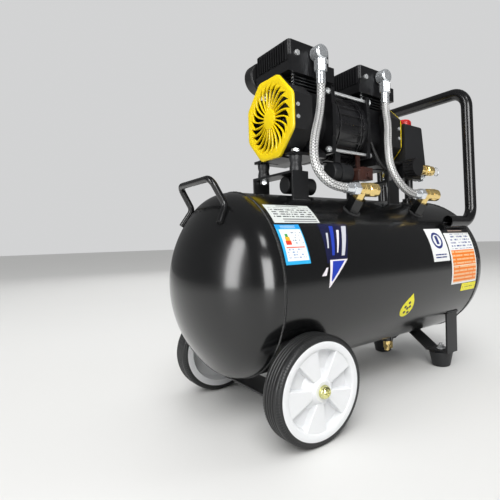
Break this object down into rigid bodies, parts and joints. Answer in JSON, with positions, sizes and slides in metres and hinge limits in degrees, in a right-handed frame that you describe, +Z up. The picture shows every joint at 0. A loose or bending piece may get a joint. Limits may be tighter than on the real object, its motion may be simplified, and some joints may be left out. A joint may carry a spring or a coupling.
{
  "type": "air compressor",
  "caption": "Wheeled horizontal air compressor: black welded tank, direct-drive oil-free piston pump with braided delivery hoses, pressure switch, regulator and push handle.",
  "frame": {"origin": "on the floor under the middle of the tank", "axes": "+X along the tank towards the push handle and the feet, +Y to the side with the air filters and the gauge, +Z up"},
  "size_m": [0.703, 0.3632, 0.632],
  "materials": {
    "tank_black": "gloss black enamel with slight orange peel",
    "rim_white": "moulded white plastic, satin",
    "tyre_black": "black rubber tyre, ribbed tread",
    "zinc_yellow": "yellow passivated zinc plating",
    "rubber_black": "matt black moulded rubber",
    "zinc_steel": "bright zinc plated steel",
    "casting_black": "black powder coat over a casting, satin",
    "cowl_black": "black moulded plastic, fine texture",
    "grille_yellow": "yellow moulded plastic, gloss",
    "aluminium_cast": "cast and machined aluminium",
    "iron_cast": "machined cast iron",
    "fan_plastic": "black glass-filled plastic",
    "lamination_steel": "stacked electrical steel sheets",
    "winding_copper": "enamelled copper wire",
    "chrome_fitting": "nickel and chrome plated",
    "hose_braid": "stainless wire braid over a hose",
    "brass_fitting": "turned brass",
    "switch_black": "black moulded plastic, satin",
    "knob_red": "red moulded plastic",
    "knob_black": "black moulded plastic",
    "gauge_case": "chromed gauge case",
    "needle_black": "black painted sheet",
    "lead_black": "black sheathed cable",
    "label_paper": "printed film label under clear laminate",
    "gauge_glass": "clear flat gauge glass"
  },
  "bodies": {
    "tank_unit": {"tank_shell": "tank_black", "tank_domes": "tank_black", "tank_seam_welds": "tank_black", "tank_bungs": "tank_black", "carry_handle": "tank_black", "push_handle": "tank_black", "axle_bracket": "tank_black", "axle_bolts": "zinc_yellow", "foot_bracket": "tank_black", "rubber_feet": "rubber_black", "saddles": "tank_black", "rubber_mounts": "rubber_black", "mounting_bolts": "zinc_steel", "crankcase_left": "casting_black", "crankcase_right": "casting_black", "fan_shroud_left": "cowl_black", "fan_shroud_right": "cowl_black", "fan_grille_left": "grille_yellow", "fan_grille_right": "grille_yellow", "motor_housing": "casting_black", "stator_core": "lamination_steel", "stator_windings": "winding_copper", "tie_bolts": "zinc_steel", "shaft_bearings": "zinc_steel", "cylinders": "aluminium_cast", "valve_plates": "zinc_steel", "cylinder_heads": "casting_black", "pump_screws": "zinc_steel", "air_filters": "cowl_black", "hose_fittings": "chrome_fitting", "hose_left": "hose_braid", "hose_right": "hose_braid", "check_valves": "brass_fitting", "start_capacitor": "cowl_black", "unloader_valve": "zinc_steel", "switch_body": "cowl_black", "switch_cover": "switch_black", "air_manifold": "casting_black", "outlet_fittings": "brass_fitting", "pressure_gauge": "gauge_case", "drain_valve": "brass_fitting", "motor_lead": "lead_black"},
    "wheel_near": {"wheel_rim_near": "rim_white", "wheel_tyre_near": "tyre_black"},
    "wheel_far": {"wheel_rim_far": "rim_white", "wheel_tyre_far": "tyre_black"},
    "shaft": {"motor_shaft": "zinc_steel", "rotor_core": "lamination_steel", "eccentrics": "iron_cast", "cooling_fans": "fan_plastic"},
    "rod_left": {"connecting_rod_left": "aluminium_cast"},
    "rod_right": {"connecting_rod_right": "aluminium_cast"},
    "piston_left": {"piston_left": "aluminium_cast"},
    "piston_right": {"piston_right": "aluminium_cast"},
    "pull_knob": {"pull_knob": "knob_red"},
    "regulator_knob": {"regulator_knob": "knob_black"},
    "safety_ring": {"safety_ring": "chrome_fitting"},
    "coupler_sleeve": {"coupler_sleeve": "chrome_fitting"},
    "gauge_needle": {"gauge_needle": "needle_black"},
    "drain_wing": {"drain_wing": "brass_fitting"}
  },
  "joints": [
    {"name": "wheel_near_spin", "type": "hinge", "parent": "tank_unit", "child": "wheel_near", "pos_m": [-0.2166, -0.1515, 0.0785], "axis": [0, 1, 0], "continuous": true},
    {"name": "wheel_far_spin", "type": "hinge", "parent": "tank_unit", "child": "wheel_far", "pos_m": [-0.2166, 0.1515, 0.0785], "axis": [0, 1, 0], "continuous": true},
    {"name": "shaft_spin", "type": "hinge", "parent": "tank_unit", "child": "shaft", "pos_m": [-0.038, 0, 0.505], "axis": [1, 0, 0], "continuous": true},
    {"name": "rod_left_spin", "type": "hinge", "parent": "shaft", "child": "rod_left", "pos_m": [-0.122, 0, 0.514], "axis": [1, 0, 0], "continuous": true},
    {"name": "rod_right_spin", "type": "hinge", "parent": "shaft", "child": "rod_right", "pos_m": [0.05, 0, 0.496], "axis": [1, 0, 0], "continuous": true},
    {"name": "piston_left_stroke", "type": "slide", "parent": "tank_unit", "child": "piston_left", "axis": [0, 0, 1], "range_m": [-0.018, 0]},
    {"name": "piston_right_stroke", "type": "slide", "parent": "tank_unit", "child": "piston_right", "axis": [0, 0, 1], "range_m": [0, 0.018]},
    {"name": "pull_knob_lift", "type": "slide", "parent": "tank_unit", "child": "pull_knob", "axis": [0, 0, 1], "range_m": [0, 0.006]},
    {"name": "regulator_turn", "type": "hinge", "parent": "tank_unit", "child": "regulator_knob", "pos_m": [0.11, -0.093, 0.433], "axis": [0, 1, 0], "range_deg": [-720, 720]},
    {"name": "safety_ring_pull", "type": "slide", "parent": "tank_unit", "child": "safety_ring", "axis": [1, 0, 0], "range_m": [0, 0.004], "stiffness_N_per_m": 2000},
    {"name": "coupler_sleeve_slide", "type": "slide", "parent": "tank_unit", "child": "coupler_sleeve", "axis": [1, 0, 0], "range_m": [-0.005, 0], "stiffness_N_per_m": 1500},
    {"name": "gauge_needle_turn", "type": "hinge", "parent": "tank_unit", "child": "gauge_needle", "pos_m": [0.146, -0.0035, 0.425], "axis": [0, 1, 0], "range_deg": [-270, 0]},
    {"name": "drain_wing_turn", "type": "hinge", "parent": "tank_unit", "child": "drain_wing", "pos_m": [0.124, 0, 0.0435], "axis": [1, 0, 0], "range_deg": [0, 360]}
  ],
  "couplings": [
    {"joint": "rod_left_spin", "follows": "shaft_spin", "ratio": -1},
    {"joint": "rod_right_spin", "follows": "shaft_spin", "ratio": -1}
  ]
}
